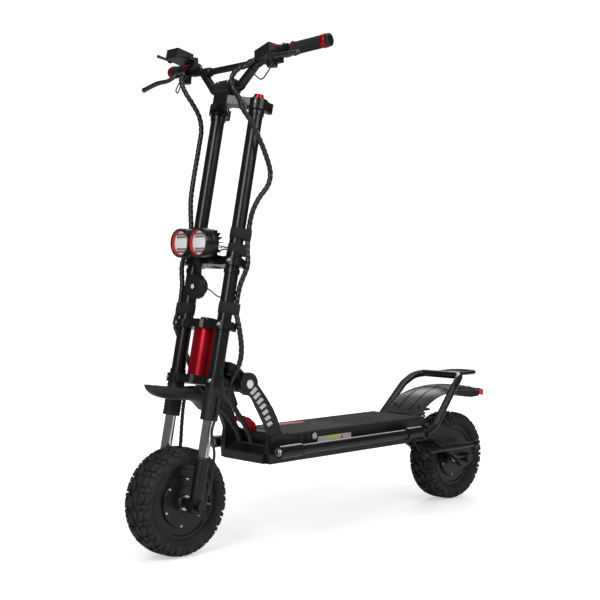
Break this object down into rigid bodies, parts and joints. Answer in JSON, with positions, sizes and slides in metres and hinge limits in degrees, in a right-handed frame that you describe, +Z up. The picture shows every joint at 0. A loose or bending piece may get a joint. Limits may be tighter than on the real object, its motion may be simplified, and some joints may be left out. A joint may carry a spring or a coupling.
{
  "type": "electric kick scooter",
  "caption": "Off-road electric kick scooter with dual stem tubes, twin round lamps, sprung fork and swingarm, folding neck and a rear hoop with a rack.",
  "frame": {"origin": "on the ground under the centre of the overall box", "axes": "+X forward along the deck, +Y to the rider's left, +Z up"},
  "size_m": [1.42, 0.6508, 1.3465],
  "materials": {
    "painted_black": "satin",
    "satin_black": "satin",
    "grip_rubber": "matte",
    "battery_wrap": "satin",
    "bare_aluminium": "satin",
    "steel": "satin",
    "red_anodised": "satin",
    "black_plastic": "matte",
    "red_lens": "gloss",
    "cap_rubber": "matte",
    "spring_red": "gloss",
    "tyre": "matte",
    "hub_black": "satin",
    "disc_steel": "satin",
    "grey_aluminium": "satin",
    "grip_foam": "matte",
    "red_plastic": "gloss",
    "chrome": "polished",
    "cable_sleeve": "matte"
  },
  "bodies": {
    "deck": {"deck_tray": "painted_black", "deck_lid": "painted_black", "grip_mat": "grip_rubber", "battery_pack": "battery_wrap", "controllers": "bare_aluminium", "side_rails": "satin_black", "neck_arms": "painted_black", "fold_pivot_bolt": "steel", "fold_latch": "red_anodised", "rear_block": "painted_black", "rear_hoop": "satin_black", "cargo_rack": "satin_black", "mudguard": "black_plastic", "tail_light": "red_lens", "swingarm_bolt": "steel", "side_fittings": "steel", "kickstand_bracket": "satin_black"},
    "stand": {"kickstand": "satin_black"},
    "front_cap": {"port_cap_front": "cap_rubber"},
    "rear_cap": {"port_cap_rear": "cap_rubber"},
    "fold_clamp": {"fold_lever": "red_anodised"},
    "rear_suspension": {"swingarm": "painted_black", "rear_axle": "steel", "rear_caliper": "satin_black", "rear_springs": "spring_red"},
    "rear_wheel": {"rear_tyre": "tyre", "rear_hub": "hub_black", "rear_disc": "disc_steel"},
    "neck": {"neck_block": "painted_black", "head_tube": "red_anodised", "head_bearings": "steel"},
    "steering": {"lower_clamp": "satin_black", "upper_clamps": "satin_black", "crown": "satin_black", "crown_caps": "red_anodised", "stem_tubes": "satin_black", "fork_springs": "steel", "handlebar": "satin_black", "bar_clamp": "grey_aluminium", "grips": "grip_foam", "display": "black_plastic", "switch_pod": "black_plastic", "lever_perches": "satin_black", "headlights": "satin_black", "horn": "black_plastic", "front_fender": "black_plastic", "cable_left": "cable_sleeve", "cable_right": "cable_sleeve"},
    "left_lever": {"brake_lever_left": "satin_black"},
    "right_lever": {"brake_lever_right": "satin_black"},
    "throttle": {"throttle_trigger": "black_plastic"},
    "button": {"horn_button": "red_plastic"},
    "fork_lower": {"fork_legs": "painted_black", "stanchions": "chrome", "front_axle": "steel", "front_caliper": "satin_black", "front_cables": "cable_sleeve"},
    "front_wheel": {"front_tyre": "tyre", "front_hub": "hub_black", "front_disc": "disc_steel"}
  },
  "joints": [
    {"name": "stem_fold", "type": "hinge", "parent": "deck", "child": "neck", "pos_m": [0.404, 0, 0.436], "axis": [0, -1, 0], "range_deg": [0, 78], "deforming": ["cable_left", "cable_right"]},
    {"name": "steer", "type": "hinge", "parent": "neck", "child": "steering", "pos_m": [0.55825, 0, 0.13759], "axis": [-0.2011, 0, 0.9796], "range_deg": [-25, 25], "deforming": ["cable_left", "cable_right"]},
    {"name": "fork_travel", "type": "slide", "parent": "steering", "child": "fork_lower", "axis": [-0.2011, 0, 0.9796], "range_m": [0, 0.08], "stiffness_N_per_m": 8000, "springref_m": -0.045, "deforming": ["fork_springs", "front_cables"]},
    {"name": "front_spin", "type": "hinge", "parent": "fork_lower", "child": "front_wheel", "pos_m": [0.57, 0, 0.14], "axis": [0, 1, 0], "continuous": true},
    {"name": "swing", "type": "hinge", "parent": "deck", "child": "rear_suspension", "pos_m": [-0.318, 0, 0.26], "axis": [0, 1, 0], "range_deg": [0, 10], "stiffness_Nm_per_rad": 500, "springref_deg": -14.32, "deforming": ["rear_springs"]},
    {"name": "rear_spin", "type": "hinge", "parent": "rear_suspension", "child": "rear_wheel", "pos_m": [-0.531, 0, 0.14], "axis": [0, 1, 0], "continuous": true},
    {"name": "kickstand_swing", "type": "hinge", "parent": "deck", "child": "stand", "pos_m": [-0.283, 0.122, 0.186], "axis": [0, -0.7771, -0.6293], "range_deg": [0, 108]},
    {"name": "front_cap_flip", "type": "hinge", "parent": "deck", "child": "front_cap", "pos_m": [0.223, 0.102, 0.285], "axis": [1, 0, 0], "range_deg": [0, 100]},
    {"name": "rear_cap_flip", "type": "hinge", "parent": "deck", "child": "rear_cap", "pos_m": [0.195, 0.102, 0.285], "axis": [1, 0, 0], "range_deg": [0, 100]},
    {"name": "fold_lever_turn", "type": "hinge", "parent": "deck", "child": "fold_clamp", "pos_m": [0.404, -0.106, 0.436], "axis": [0, -1, 0], "range_deg": [0, 90]},
    {"name": "left_brake", "type": "hinge", "parent": "steering", "child": "left_lever", "pos_m": [0.398, 0.19, 1.276], "axis": [0, 0, 1], "range_deg": [0, 18], "stiffness_Nm_per_rad": 2, "springref_deg": -5.73},
    {"name": "right_brake", "type": "hinge", "parent": "steering", "child": "right_lever", "pos_m": [0.398, -0.19, 1.276], "axis": [0, 0, -1], "range_deg": [0, 18], "stiffness_Nm_per_rad": 2, "springref_deg": -5.73},
    {"name": "throttle_press", "type": "hinge", "parent": "steering", "child": "throttle", "pos_m": [0.412, -0.2275, 1.32], "axis": [0, 1, 0], "range_deg": [0, 30], "stiffness_Nm_per_rad": 0.3, "springref_deg": -17.19},
    {"name": "horn_press", "type": "slide", "parent": "steering", "child": "button", "axis": [0.1596, 0.2265, -0.9609], "range_m": [0, 0.002], "stiffness_N_per_m": 400, "springref_m": -0.002}
  ]
}
